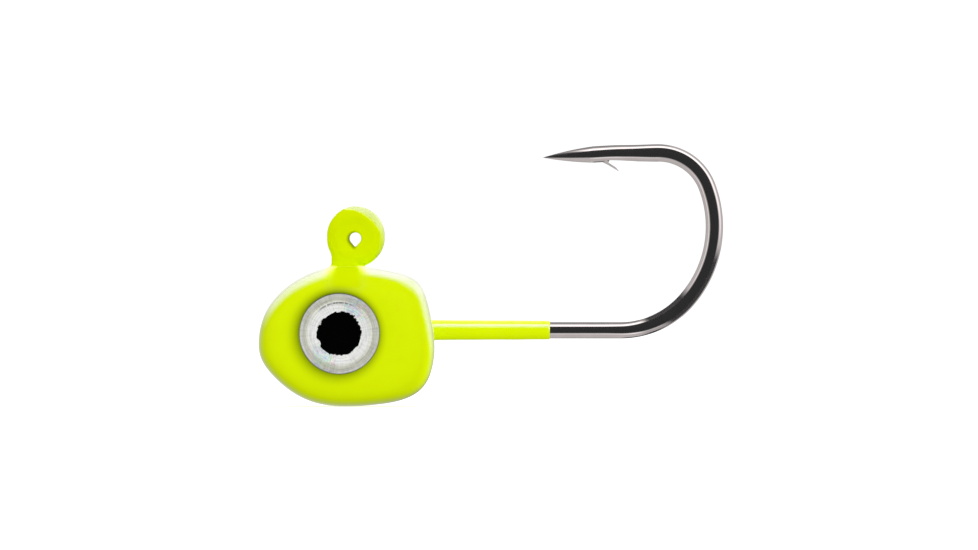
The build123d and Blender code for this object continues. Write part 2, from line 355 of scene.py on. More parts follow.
def foil_material():
    """Silver holographic film, greyer outside its dotted ring, with radial grain and two pastel fans."""
    material, tree = new_material("eye_foil")
    reach = attribute(tree, "reach")
    turn = attribute(tree, "turn")
    across, up = attribute(tree, "across"), attribute(tree, "up")

    def streaks(around, along, detail=3.0):
        """Noise with one scale round the eye and another along its radius."""
        parts = [product(tree, across, around), product(tree, up, around), product(tree, reach, along)]
        place = result(tree, "CombineXYZ", dict(enumerate(parts)))
        inputs = {"Vector": place, "Scale": 1.0, "Detail": detail, "Roughness": 0.6}
        return add_node(tree, "TexNoise", inputs).outputs["Fac"]

    def sector(middle, half):
        """1 in the middle of a sector of the disc, 0 outside it. Angles are in turns."""
        off = maths(tree, "ABSOLUTE", maths(tree, "SUBTRACT", turn, middle))
        off = maths(tree, "MINIMUM", off, one_minus(tree, off))
        return ramp(tree, maths(tree, "DIVIDE", off, half), [(0.0, 1.0), (0.6, 0.8), (1.0, 0.0)], smooth=True)

    zone = [(0.0, (0.90, 0.90, 0.89)), (0.70, (0.87, 0.87, 0.85)), (0.76, (0.76, 0.76, 0.69))]
    zone += [(0.83, (0.58, 0.58, 0.49)), (0.895, (0.62, 0.62, 0.55)), (0.935, (0.76, 0.74, 0.75))]
    zone = ramp(tree, reach, zone + [(0.975, (0.70, 0.69, 0.71)), (1.0, (0.55, 0.56, 0.53))])
    radial = ramp(tree, streaks(26.0, 1.5), [(0.34, 0.80), (0.48, 0.96), (0.62, 1.0)])
    rings = ramp(tree, streaks(1.6, 60.0), [(0.36, 0.72), (0.56, 1.0)])
    silver = mix_colour(tree, 1.0, mix_colour(tree, 1.0, zone, radial, "MULTIPLY"), rings, "MULTIPLY")
    patch = plus(tree, product(tree, streaks(3.2, 7.0, 2.0), 2.6), product(tree, turn, 5.0))
    pastel = [(0.0, (0.92, 0.66, 0.77)), (0.25, (0.60, 0.71, 0.95)), (0.5, (0.60, 0.92, 0.84))]
    pastel += [(0.75, (0.64, 0.82, 0.60)), (1.0, (0.92, 0.66, 0.77))]
    pastel = ramp(tree, maths(tree, "FRACT", patch), pastel)
    fans = maths(tree, "MAXIMUM", sector(0.155, 0.085), sector(0.655, 0.10))
    within = ramp(tree, reach, [(0.50, 0.0), (0.60, 1.0), (0.94, 1.0), (1.0, 0.3)])
    speckle = ramp(tree, streaks(12.0, 22.0), [(0.38, 0.15), (0.62, 1.0)])
    share = product(tree, fans, within, speckle)
    colour = mix_colour(tree, share, silver, pastel, "MULTIPLY")
    from_ring = maths(tree, "ABSOLUTE", maths(tree, "SUBTRACT", reach, DOTTED_RING))
    line = ramp(tree, from_ring, [(0.0, 1.0), (0.013, 1.0), (0.021, 0.0)])
    dots = ramp(tree, streaks(17.0, 0.0, 1.0), [(0.36, 0.15), (0.46, 1.0)])
    dotted = product(tree, line, sector(0.268, 0.115), dots, 0.85)
    colour = mix_colour(tree, dotted, colour, (0.06, 0.05, 0.055))
    ticks = maths(tree, "SINE", product(tree, turn, 2 * pi * FOIL_TICKS))
    inputs = {
        "Base Color": colour,
        "Metallic": 0.25,
        "Roughness": 0.42,
        # Painted light: the foil glows in its own colours, so that it reads bright under the dome
        "Emission Color": colour,
        "Emission Strength": 0.30,
        "Normal": bump(tree, ticks, 0.003, 0.4),
    }
    return finish_material(material, principled(tree, inputs))


def pupil_material():
    """Black ink with a faint print grain."""
    material, tree = new_material("pupil_print")
    grain = noise(tree, 14.0, 2.0)
    inputs = {
        "Base Color": ramp(tree, grain, [(0.3, 0.0002), (0.7, 0.001)]),
        "Roughness": 0.7,
        "Specular IOR Level": 0.0,
        "Normal": bump(tree, grain, 0.003),
    }
    return finish_material(material, principled(tree, inputs))


def dome_material():
    """Clear resin with a trace of haze and a milky edge that glows faintly as painted light. Shadow rays
    pass, so that the foil below is lit.
    """
    material, tree = new_material("clear_dome")
    inputs = {
        "Base Color": (0.98, 0.99, 0.99, 1),
        "Roughness": ramp(tree, noise(tree, 3.0, 2.0), [(0.4, 0.0), (0.8, 0.03)]),
        "IOR": 1.50,
        "Transmission Weight": 1.0,
        "Normal": bump(tree, noise(tree, 0.7), 0.004, 0.5),
    }
    clear = principled(tree, inputs)
    passing = result(tree, "BsdfTransparent")
    shadow = add_node(tree, "LightPath").outputs["Is Shadow Ray"]
    mixed = mix_shaders(tree, shadow, clear, passing)
    facing = edge_on(tree)
    edge = ramp(tree, facing, [(0.55, 0.0), (0.90, 0.60), (0.97, 0.90)])
    haze = result(tree, "BsdfDiffuse", {"Color": (0.64, 0.64, 0.64, 1)})
    # Painted light: a faint glow in the milky edge keeps it from reading dark
    lit = result(tree, "Emission", {"Color": (0.80, 0.78, 0.84, 1), "Strength": 0.14})
    milky = result(tree, "AddShader", {0: haze, 1: lit})
    return finish_material(material, mix_shaders(tree, edge, mixed, milky))


def floor_material():
    """Pale sweep paper with a barely visible tooth, lit well enough to read as white."""
    material, tree = new_material("floor_paper")
    inputs = {
        "Base Color": ramp(tree, noise(tree, 0.05, 3.0), [(0.3, 0.86), (0.7, 0.89)]),
        "Roughness": 0.9,
        "Specular IOR Level": 0.0,
        "Emission Color": (1, 1, 1, 1),
        "Emission Strength": 0.42,
        "Normal": bump(tree, noise(tree, 1.0, 3.0), 0.02),
    }
    material.cycles.emission_sampling = "NONE"
    return finish_material(material, principled(tree, inputs))


# -------- meshes


def new_object(name, data):
    thing = bpy.data.objects.new(name, data)
    bpy.context.scene.collection.objects.link(thing)
    return thing


def hide_from(thing, *rays):
    for ray in rays:
        setattr(thing, f"visible_{ray}", False)


def new_piece(name, points, faces, material):
    """A smooth-shaded mesh piece on the root body, from points in millimetres."""
    mesh = bpy.data.meshes.new(name)
    mesh.from_pydata((np.asarray(points) * MM).tolist(), [], faces)
    mesh.polygons.foreach_set("use_smooth", np.ones(len(mesh.polygons), bool))
    mesh.materials.append(material)
    mesh.update()
    piece = new_object(name, mesh)
    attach(piece, "root")
    return piece


def set_attributes(piece, **layers):
    for name, values in layers.items():
        layer = piece.data.attributes.new(name, "FLOAT", "POINT")
        layer.data.foreach_set("value", np.asarray(values, np.float32))


def outward(piece):
    """Makes the faces of a closed mesh point outwards."""
    work = bmesh.new()
    work.from_mesh(piece.data)
    bmesh.ops.recalc_face_normals(work, faces=work.faces)
    work.to_mesh(piece.data)
    work.free()
    return piece


def sharpen(piece, angle_deg):
    """Shades edges steeper than the angle as crisp ones."""
    piece.data.set_sharp_from_angle(angle=radians(angle_deg))
    return piece


def tube_faces(rings, around):
    """Quads between rings of points, with an end cap on each end."""
    faces = []
    for ring in range(rings - 1):
        for k in range(around):
            a, b = ring * around + k, ring * around + (k + 1) % around
            faces.append((a, b, b + around, a + around))
    faces.append(tuple(range(around))[::-1])
    faces.append(tuple(range((rings - 1) * around, rings * around)))
    return faces


def smooth_step(value, low, high):
    t = np.clip((value - low) / (high - low), 0, 1)
    return t * t * (3 - 2 * t)


def seen_from(middle_x, middle_z, x, z):
    """Distance and direction from a point, in the side view."""
    dx, dz = x - middle_x, z - middle_z
    return np.hypot(dx, dz), np.arctan2(dz, dx)


# -------- paint


WIRE_EXITS = ((1, 15), (85, 28))  # the shank's and the neck's direction and half width from the eye, degrees
FLANK_Y = 1.5  # beyond this the surface belongs to a flank
HEAD_WAVER = 0.005


def is_clear(angle):
    """Directions from the eye in which neither the shank nor the neck leaves the head."""
    return np.all([np.abs(angle - radians(middle)) > radians(half) for middle, half in WIRE_EXITS], axis=0)


def fit_outline():
    """Fourier coefficients of the painted outline's radius about the eye, from the casting's surface."""
    mesh = frame["nodes"]["head_casting"].data
    points = np.empty(len(mesh.vertices) * 3)
    mesh.vertices.foreach_get("co", points)
    x, y, z = points.reshape(-1, 3).T / MM
    reach, angle = seen_from(EYE_X, EYE_Z, x, z)
    share = (1 - (np.abs(y) / (HEAD_HALF - PAINT)) ** CROWN).clip(1e-3) ** (1 / CROWN)
    outside = reach > EYE_R + 1
    on_seam = outside & (np.abs(y) < 0.3) & is_clear(angle)
    beside_wire = outside & (np.abs(y) > WIRE_R + PAINT) & (share > 0.8) & ~is_clear(angle)
    angles = np.concatenate([angle[on_seam], angle[beside_wire]])
    radii = np.concatenate([reach[on_seam] - SEAM_HEIGHT, (reach / share)[beside_wire]]) + PAINT
    return np.linalg.lstsq(outline_basis(angles), radii, rcond=None)[0]


def outline_basis(angle):
    """Columns of 1, cos and sin of each harmonic."""
    columns = [np.ones_like(angle)]
    for wave in range(1, OUTLINE_WAVES + 1):
        columns += [np.cos(wave * angle), np.sin(wave * angle)]
    return np.stack(columns, axis=-1)


TABLE_ANGLES = np.linspace(-pi, pi, 2049)
TABLE_RADII = outline_basis(TABLE_ANGLES) @ fit_outline()


def soft_min(a, b, blend):
    """The smaller of two distances, rounded over where they are close: joins two shapes with a fillet."""
    h = np.clip(0.5 + 0.5 * (b - a) / blend, 0, 1)
    return b + (a - b) * h - blend * h * (1 - h)


def soft_max(a, b, blend):
    return -soft_min(-a, -b, blend)


DISH_DEPTH, DISH_WIDTH = 0.07, 1.1  # shallow hollow round each eye
SOCKET_LIP = 0.16  # roundness of the socket's edge
WEB_HALF, WEB_BLEND = 0.68, 0.22
RING_FILM, RING_SAG = 0.07, 0.07  # the film is thinner round the ring, and sags at its upper right
HOLE_TAIL_Z, HOLE_TAIL_R, HOLE_LIP = -0.51, 0.11, 0.16
NECK_MIDDLE, NECK_LONG, NECK_WIDE, NECK_TOP, NECK_FOOT = -0.69, 1.10, 0.78, -0.70, -4.0
NECK_BLEND, HEAD_BLEND = 0.14, 0.34
SLEEVE_HEAD_R, SLEEVE_END_R, SLEEVE_END_ROUND, SLEEVE_LIFT = 0.745, 0.70, 0.16, 0.02
SLEEVE_BLEND, SLEEVE_TAPER_X, SLEEVE_WAVER = 0.10, 6.0, 0.006


def head_distance(x, y, z):
    """About how far a point is outside the rounded head, in millimetres."""
    reach, angle = seen_from(EYE_X, EYE_Z, x, z)
    limit = np.interp(angle, TABLE_ANGLES, TABLE_RADII)
    across, through = reach / limit, np.abs(y) / HEAD_HALF
    level = (across**CROWN + through**CROWN + 1e-9) ** (1 / CROWN)
    slope = np.hypot(across ** (CROWN - 1) / limit, through ** (CROWN - 1) / HEAD_HALF) * level ** (1 - CROWN)
    distance = (level - 1) / np.maximum(slope, 0.05)
    dish = DISH_DEPTH * (1 - smooth_step(reach, EYE_R, EYE_R + DISH_WIDTH))
    seam = SEAM_HEIGHT * np.exp(-((y / SEAM_HALF) ** 2))
    waver = HEAD_WAVER * np.sin(1.1 * x + 0.6 * y) * np.sin(0.9 * z - 0.4 * x + 1.0)
    return distance + dish * (np.abs(y) > FLANK_Y) - seam + waver


def ring_distance(x, y, z):
    """Paint round the wire ring and the film that spans it, with a drop-shaped hole."""
    rise = np.maximum(np.abs(z - RING_MIDDLE_Z) - RING_LIFT / 2, 0)
    spoke = np.hypot(x, rise)
    sag = RING_SAG * np.clip((x + z) / (2**0.5 * RING_R), 0, 1)
    tube = np.hypot(spoke - RING_R, y) - (WIRE_R + RING_FILM + sag)
    web = soft_max(np.abs(y) - WEB_HALF, spoke - RING_R, 0.1)
    solid = soft_min(tube, web, WEB_BLEND)
    return soft_max(solid, -hole_distance(x, z), HOLE_LIP)


def hole_distance(x, z):
    """Distance outside a drop shape: a round hole that narrows to a small round tail below."""
    side, down, length = np.abs(x), -z, -HOLE_TAIL_Z
    lean = (HOLE_R - HOLE_TAIL_R) / length
    upright = (1 - lean * lean) ** 0.5
    k = upright * down - lean * side
    flank = upright * side + lean * down - HOLE_R
    round_top = np.hypot(side, down) - HOLE_R
    tail = np.hypot(side, down - length) - HOLE_TAIL_R
    return np.where(k < 0, round_top, np.where(k > upright * length, tail, flank))


def neck_distance(x, y, z):
    """Paint that fills in round the wire between the ring and the head."""
    oval = (np.hypot((x - NECK_MIDDLE) / NECK_LONG, y / NECK_WIDE) - 1) * NECK_WIDE
    return np.maximum(soft_max(oval, z - NECK_TOP, 0.4), NECK_FOOT - z)


def sleeve_distance(x, y, z):
    """Paint on the shank, a little thinner and faintly uneven towards its rounded end."""
    along = np.clip((x - SLEEVE_TAPER_X) / (PAINT_END_X - SLEEVE_TAPER_X), 0, 1)
    waver = SLEEVE_WAVER * np.sin(1.7 * x) * np.sin(0.6 * x + 1)
    radius = SLEEVE_HEAD_R + (SLEEVE_END_R - SLEEVE_HEAD_R) * along + waver
    side = np.hypot(y, z - SHANK_Z - SLEEVE_LIFT) - radius
    return soft_max(soft_max(side, x - PAINT_END_X, SLEEVE_END_ROUND), -x, 0.1)


def paint_distance(x, y, z):
    """The whole painted surface: negative inside."""
    head = soft_min(head_distance(x, y, z), neck_distance(x, y, z), HEAD_BLEND)
    head = soft_min(head, sleeve_distance(x, y, z), SLEEVE_BLEND)
    wall = np.hypot(x - EYE_X, z - EYE_Z) - EYE_R
    socket = soft_max(wall, SOCKET_FLOOR - np.abs(y), 0.05)
    head = soft_max(head, -socket, SOCKET_LIP)
    return soft_min(head, ring_distance(x, y, z), NECK_BLEND)


def gradient(field, points, step=0.01):
    """Slope of the field at each point."""
    slopes = [field(*(points + shift).T) - field(*(points - shift).T) for shift in step * np.eye(3)]
    return np.stack(slopes, axis=1) / (2 * step)


def settle(field, points, edges, rounds, spread):
    """Evens out the points' spacing and moves them onto the surface, some rounds of it."""
    count = np.bincount(edges.ravel(), minlength=len(points))[:, None]
    for _ in range(rounds):
        total = np.zeros_like(points)
        for axis in range(3):
            for here, there in (edges.T, edges.T[::-1]):
                total[:, axis] += np.bincount(here, points[there, axis], len(points))
        points = points + spread * (total / np.maximum(count, 1) - points)
        for _ in range(2):
            slope = gradient(field, points)
            size = (slope**2).sum(1).clip(0.05)
            move = field(*points.T) / size
            points = points - slope * np.clip(move, -0.1, 0.1)[:, None]
    return points


def surface_net(field, low, high, step):
    """One point in each grid cell that the surface crosses, and a quad across each crossed grid edge."""
    axes = [np.arange(a, b + step, step) for a, b in zip(low, high)]
    inside = field(*np.ix_(*axes)) < 0
    corners = np.zeros(tuple(n - 1 for n in inside.shape), int)
    for i, j, k in np.ndindex(2, 2, 2):
        corners += inside[i : i - 1 or None, j : j - 1 or None, k : k - 1 or None]
    crossed = (corners > 0) & (corners < 8)
    number = np.full(crossed.shape, -1)
    number[crossed] = np.arange(crossed.sum())
    cells = np.argwhere(crossed)
    points = np.array(low) + (cells + 0.5) * step
    quads = []
    for axis in range(3):
        turned = np.moveaxis(inside, axis, 0)
        cell = np.moveaxis(number, axis, 0)
        first, second = turned[:-1, 1:-1, 1:-1], turned[1:, 1:-1, 1:-1]
        for going_out in (True, False):
            i, j, k = np.argwhere((first != second) & (first == going_out)).T
            around = [cell[i, j, k], cell[i, j + 1, k], cell[i, j + 1, k + 1], cell[i, j, k + 1]]
            flip = going_out if axis != 1 else not going_out
            quads.append(np.stack(around if flip else around[::-1], axis=1))
    return points, np.concatenate(quads)


def refine(points, faces, wanted):
    """Halves the mesh wherever wanted(face middle) is true."""
    work = bmesh.new()
    for point in points:
        work.verts.new(point)
    work.verts.ensure_lookup_table()
    for face in faces:
        work.faces.new([work.verts[i] for i in face])
    chosen = [f for f in work.faces if wanted(f.calc_center_median())]
    edges = list({e for f in chosen for e in f.edges})
    bmesh.ops.subdivide_edges(work, edges=edges, cuts=1, use_grid_fill=True)
    bmesh.ops.triangulate(work, faces=[f for f in work.faces if len(f.verts) > 4])
    work.verts.index_update()
    new_points = np.array([v.co for v in work.verts])
    new_faces = [[v.index for v in f.verts] for f in work.faces]
    edge_list = np.array([[e.verts[0].index, e.verts[1].index] for e in work.edges])
    work.free()
    return new_points, new_faces, edge_list


PAINT_STEP, PAINT_MARGIN = 0.125, 0.35  # spacing of the surface net, and its reach past the node's box
FINE_ABOVE_Z, FINE_LIP, FINE_PAST_X = -2.7, 0.35, 5.7
HOLE_FINE_Z, HOLE_FINE_R = -0.10, 0.78
RING_FOOT = (-2.25, -2.0)  # heights between which the neck gives way to the ring
RIM_DULL = 0.36  # dullness left on the ring's upper right rim
RIM_LEAN, RIM_LEAN_ABOVE_Z, SLEEVE_LEAN = 1.15, -1.9, 0.35


def is_fine_paint(middle):
    """Where the paint has small shapes: the ring and neck, the socket lips and the sleeve."""
    lip = abs(hypot(middle.x - EYE_X, middle.z - EYE_Z) - EYE_R) < FINE_LIP
    return middle.z > FINE_ABOVE_Z or lip or middle.x > FINE_PAST_X


def is_near_hole(middle):
    return hypot(middle.x, middle.z - HOLE_FINE_Z) < HOLE_FINE_R


def pooled_paint(points):
    """How much painted shade darkens the colour: round the eye, most towards the nose, and left of the hole.
    """
    x, y, z = points.T
    reach, angle = seen_from(EYE_X, EYE_Z, x, z)
    width = 1.0 - 0.24 * np.cos(angle) - 0.17 * np.sin(angle)
    depth = 0.7875 - 0.135 * np.cos(angle) + 0.11 * np.sin(angle) - 0.0725 * np.cos(2 * angle)
    eye = depth * (1 - np.clip((reach - EYE_R) / width, 0, 1)) ** 2 * (np.abs(y) > FLANK_Y)
    lip = 1 - np.clip(hole_distance(x + 0.05, z + 0.04) / 0.22, 0, 1)
    # Painted shade along the left of the hole, where the light from above doesn't reach
    return np.maximum(eye, 0.8 * lip * (z > -1.2) * smooth_step(-x + 0.1, -0.2, 0.3))


def ring_bevel(spoke):
    """How far out on the ring the film starts to fall away, by direction: soonest at the upper right."""
    degrees = (-70, -36, -16, 9, 28, 57, 80, 109, 130)
    return np.interp(spoke, degrees, (2.6, 2.01, 1.915, 1.90, 1.77, 1.73, 1.87, 2.20, 3.0))


def dull_paint(points):
    """Where the paint is less glossy and, as painted shade, a little darker: the neck and the ring, but less
    so on its upper right rim.
    """
    x, y, z = points.T
    neck = smooth_step(x, -2.70, -1.35) * (1 - smooth_step(x, 0.10, 1.25)) * smooth_step(z, -4.2, -3.5)
    neck *= np.maximum(smooth_step(np.abs(y), 0.9, 1.9), smooth_step(z, -2.5, RING_FOOT[0]))
    neck *= z < RING_FOOT[1]
    reach, spoke = seen_from(0, RING_MIDDLE_Z, x, z)
    edge = ring_bevel((np.degrees(spoke) + 70) % 360 - 70)
    rim = smooth_step(reach, edge - 0.10, edge + 0.10)
    ring = smooth_step(z, *RING_FOOT) * (1 - (1 - RIM_DULL) * rim)
    return np.clip(np.maximum(neck, ring), 0, 1)


def sleeve_share(points):
    """1 on the painted shank, 0 on the head and the fillet between them."""
    x, y, z = points.T
    from_wire = np.hypot(y, z - SHANK_Z - SLEEVE_LIFT)
    return smooth_step(x, 5.3, 5.6) * (1 - smooth_step(from_wire, 0.80, 0.92))


def lean_normals(points, normals, sleeve):
    """Leans the normals of the ring's upper right rim outwards, as on a film that sags off a rounded edge.

    The sleeve's lean up a little, which puts its highlight at the height where a thicker crest would have it.
    """
    x, _, z = points.T
    reach, spoke = seen_from(0, RING_MIDDLE_Z, x, z)
    # Below -70 degrees the first radius holds, so a small patch on the neck's left leans too
    edge = ring_bevel(np.degrees(spoke))
    lean = RIM_LEAN * smooth_step(reach, edge - 0.12, edge + 0.06) * (z > RIM_LEAN_ABOVE_Z)
    up = lean * (z - RING_MIDDLE_Z) / reach + SLEEVE_LEAN * sleeve
    leaned = normals + np.stack([lean * x / reach, 0 * lean, up], axis=1)
    return leaned / np.linalg.norm(leaned, axis=1)[:, None]


def make_paint(material):
    """The film as one mesh: a coarse net on its surface, made finer where the shapes are small."""
    low, high = paint_low - PAINT_MARGIN, paint_high + PAINT_MARGIN
    points, quads = surface_net(paint_distance, low, high, PAINT_STEP)
    edges = np.concatenate([quads[:, [k, (k + 1) % 4]] for k in range(4)])
    points = settle(paint_distance, points, edges, rounds=6, spread=0.5)
    faces = quads.tolist()
    for wanted, spread in ((is_fine_paint, 0.4), (is_near_hole, 0.3)):
        points, faces, edges = refine(points, faces, wanted)
        points = settle(paint_distance, points, edges, rounds=3, spread=spread)
    paint = new_piece("paint_coat_skin", points, faces, material)
    normals = gradient(paint_distance, points)
    sleeve = sleeve_share(points)
    normals = lean_normals(points, normals / np.linalg.norm(normals, axis=1)[:, None], sleeve)
    paint.data.normals_split_custom_set_from_vertices(normals.tolist())
    set_attributes(paint, pooled=pooled_paint(points), dull=dull_paint(points), sleeve=sleeve)
    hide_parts("paint_coat")
    return paint


# -------- hook

HOOK_AROUND = 56  # points round the wire
FORGE_IN, FORGE_OUT = 3.5, 5.0  # lengths over which the forged flats fade in and out
FORGE_SQUARE, FORGE_LOSS = 0.25, 0.75  # how much the flats square the wire, and how much of them fades out
FADE_LENGTH = 2.2  # over which the bend's thicker wire thins again
BARB_FRONT_X, BARB_NOTCH_X, BARB_TIP_X, BARB_TIP_Z = 18.44, 18.99, 19.74, 5.03
BARB_ROOT_HALF, BARB_TIP_HALF = 0.34, 0.05  # half widths
BARB_THICK, BARB_THINNING = 0.16, 0.12
SHAVE_DEPTH, SHAVE_LENGTH = 0.12, 2.2  # the cut that the barb was lifted from


def walk(moves):
    """Points, headings and distance from the cut end, along (length, turn in degrees, spacing) moves."""
    tag, heading = radians(-TAG_END_DEG), radians(90 - TAG_END_DEG)
    at = np.array((RING_R * cos(tag), RING_LOW_Z + RING_R * sin(tag)))
    rows = [(*at, heading, 0.0)]
    done = 0.0
    for length, turn_deg, spacing in moves:
        steps = max(1, int(np.ceil(length / spacing)))
        stride, turn = length / steps, radians(turn_deg) / steps
        chord = stride * np.sinc(turn / 2 / pi)
        for _ in range(steps):
            middle = heading + turn / 2
            at = at + chord * np.array([cos(middle), sin(middle)])
            heading += turn
            done += stride
            rows.append((*at, heading, done))
    return np.array(rows)


def arc(radius, turn_deg, spacing=0.12):
    return (radius * radians(abs(turn_deg)), turn_deg, spacing)


def hook_path():
    """The wire's centreline from its cut end to the point, and how far along it the bend starts and ends."""
    lean = radians(NECK_LEAN_DEG)
    sway_r = (NECK_X + RING_R * cos(lean)) / (1 - cos(lean))
    ring = [arc(RING_R, TAG_END_DEG), (RING_LIFT, 0, 0.12), arc(RING_R, 180), (RING_LIFT, 0, 0.12)]
    ring += [arc(RING_R, NECK_LEAN_DEG), arc(sway_r, -NECK_LEAN_DEG)]
    neck_end_z = walk(ring)[-1][1]
    down = neck_end_z - (SHANK_Z + ELBOW_R)
    shank = BEND_X - (NECK_X + ELBOW_R)
    to_bend = ring + [(down, 0, 0.15), arc(ELBOW_R, 90), (shank, 0, 0.12)]
    through = to_bend + [arc(radius, turn, 0.10) for radius, turn in BEND_ARCS]
    bent = walk(through)[-1]
    leg = through + [((LEG_DROP_X - bent[0]) / cos(bent[2]), 0, 0.05), arc(LEG_DROP_R, LEG_DROP_DEG, 0.05)]
    dropped = walk(leg)[-1]
    reach = (POINT_TIP_X - dropped[0]) / cos(dropped[2])
    path = walk(leg + [(reach, 0, 0.04)])
    bend_start = sum(move[0] for move in to_bend)
    bend_end = sum(move[0] for move in through)
    return path, bend_start, bend_end


def taper_radius(left):
    """Radius of the point at a distance from the tip: full at the shoulder, slightly bellied between."""
    t = np.clip(1 - left / POINT_LENGTH, 0, 1)
    belly = 4 * (POINT_MID_R - (WIRE_R + POINT_TIP_R) / 2)
    return WIRE_R + (POINT_TIP_R - WIRE_R) * t + belly * t * (1 - t)


def make_hook(material):
    """The wire swept along its path, thicker and flattened in the bend, with the shave and the barb."""
    path, bend_start, bend_end = hook_path()
    x, z, heading, done = path.T
    spread = smooth_step(done, bend_start, bend_start + BEND_ARCS[0][0] * radians(BEND_ARCS[0][1]))
    spread *= 1 - smooth_step(done, bend_end, bend_end + FADE_LENGTH)
    forged = smooth_step(done, bend_start - FORGE_IN / 2, bend_start + FORGE_IN)
    forged *= 1 - FORGE_LOSS * smooth_step(done, bend_end, bend_end + FORGE_OUT)
    radius = taper_radius(done[-1] - done)
    in_plane = radius + (BEND_WIRE_R - WIRE_R) * spread
    across = np.minimum(WIRE_R + (FORGED_HALF - WIRE_R) * forged, radius)
    power = 2 / (2 + FORGE_SQUARE * forged)
    turn = np.linspace(0, 2 * pi, HOOK_AROUND, endpoint=False)
    c, s = np.cos(turn)[None, :], np.sin(turn)[None, :]
    towards_gap = in_plane[:, None] * np.sign(c) * np.abs(c) ** power[:, None]
    sideways = across[:, None] * np.sign(s) * np.abs(s) ** power[:, None]
    on_leg = (done > bend_end) & (x > BARB_NOTCH_X)
    shave = SHAVE_DEPTH * np.clip(1 - (x - BARB_NOTCH_X) / SHAVE_LENGTH, 0, 1) * on_leg
    towards_gap = np.minimum(towards_gap, (in_plane - shave)[:, None])
    points_x = x[:, None] - np.sin(heading)[:, None] * towards_gap
    points_z = z[:, None] + np.cos(heading)[:, None] * towards_gap
    points = np.stack([points_x, sideways, points_z], axis=2).reshape(-1, 3)
    faces = tube_faces(len(path), HOOK_AROUND)
    leg = (done > bend_end) & (np.abs(x - BARB_NOTCH_X) < 0.06)
    underside = (z[leg] - in_plane[leg]).mean()
    barb_points, barb_faces = barb_mesh(underside)
    faces += [tuple(i + len(points) for i in face) for face in barb_faces]
    hook = new_piece("hook_wire", np.concatenate([points, barb_points]), faces, material)
    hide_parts("hook")
    return sharpen(outward(hook), 40)


def barb_mesh(underside_z):
    """The lifted sliver: a keel under the wire, an upright notch face and a fine tip that points back."""
    around = 20
    turn = np.linspace(0, 2 * pi, around, endpoint=False)
    c, s = np.cos(turn), np.sin(turn)
    knee_x, knee_z = BARB_NOTCH_X - 0.02, underside_z - 0.25
    low = [(BARB_FRONT_X - 0.25, underside_z + 0.12), (BARB_FRONT_X, underside_z + 0.01), (knee_x, knee_z)]
    low.append((BARB_TIP_X, BARB_TIP_Z))
    notch_z = underside_z - 0.07
    keel = [BARB_FRONT_X + offset for offset in (-0.25, -0.1, 0.0, 0.12, 0.25)]
    tail = np.linspace(BARB_NOTCH_X + 0.004, BARB_TIP_X, 9)
    rows = []
    for x in [*keel, knee_x, BARB_NOTCH_X, *tail]:
        t = np.clip((x - BARB_NOTCH_X) / (BARB_TIP_X - BARB_NOTCH_X), 0, 1)
        bottom = np.interp(x, *zip(*low))
        top = notch_z + (BARB_TIP_Z + BARB_THICK - notch_z) * t - BARB_THINNING * smooth_step(t, 0.7, 1.0)
        top = underside_z + 0.45 if x <= BARB_NOTCH_X else top
        half_width = BARB_ROOT_HALF + (BARB_TIP_HALF - BARB_ROOT_HALF) * t**0.8
        sideways = half_width * np.sign(c) * np.abs(c) ** 1.4
        height = (top + bottom) / 2 + (top - bottom) / 2 * np.sign(s) * np.abs(s) ** 1.4
        rows.append(np.stack([np.full(around, x), sideways, height], axis=1))
    return np.concatenate(rows), tube_faces(len(rows), around)


# -------- eyes

HUB_R = 0.05  # the flat caps in the middle of the turned discs
GROOVE_R = 2.34
PUPIL_TEETH, PUPIL_STEPS, PUPIL_SEED = 30, 360, 7
DOME_GAP = 0.03  # clearance to the socket's painted wall
DOME_EDGE = 0.14  # height of the upright edge
DOME_FULL, DOME_CROWN = 3.4, 1.75  # exponents of the cap: a full shoulder and a gentle crown


def lathe(profile, side, around=160):
    """A closed solid round the eye's axis from (radius, distance from the middle) pairs.

    A radius is a number or one number for each direction.
    """
    turn = np.linspace(0, 2 * pi, around, endpoint=False)
    rows = [
        np.stack([EYE_X + r * np.cos(turn), np.full(around, side * h), EYE_Z + r * np.sin(turn)], axis=1)
        for r, h in profile
    ]
    return np.concatenate(rows), tube_faces(len(profile), around)


def make_foil(name, side, material):
    """A thin disc with a fine groove inside its rim and a rolled edge."""
    top, base = FOIL_TOP, FOIL_BASE
    profile = [(HUB_R, base), (FOIL_R - 0.02, base), (FOIL_R, base + 0.02)]
    profile += [(FOIL_R, top - 0.03), (FOIL_R - 0.03, top)]
    groove = ((0.08, 0.0), (0.04, 0.004), (0.0, 0.03), (-0.04, 0.004), (-0.08, 0.0))
    profile += [(GROOVE_R + offset, top - depth) for offset, depth in groove]
    profile += [(r, top) for r in np.linspace(2.0, HUB_R, 8)]
    points, faces = lathe(profile, side)
    foil = new_piece(f"{name}_eye_foil_disc", points, faces, material)
    reach, angle = seen_from(EYE_X, EYE_Z, points[:, 0], points[:, 2])
    across, up = (points[:, 0] - EYE_X) / reach, (points[:, 2] - EYE_Z) / reach
    set_attributes(foil, turn=angle / (2 * pi) % 1.0, reach=reach / FOIL_R, across=across, up=up)
    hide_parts(f"{name}_eye_foil")
    return sharpen(outward(foil), 50)


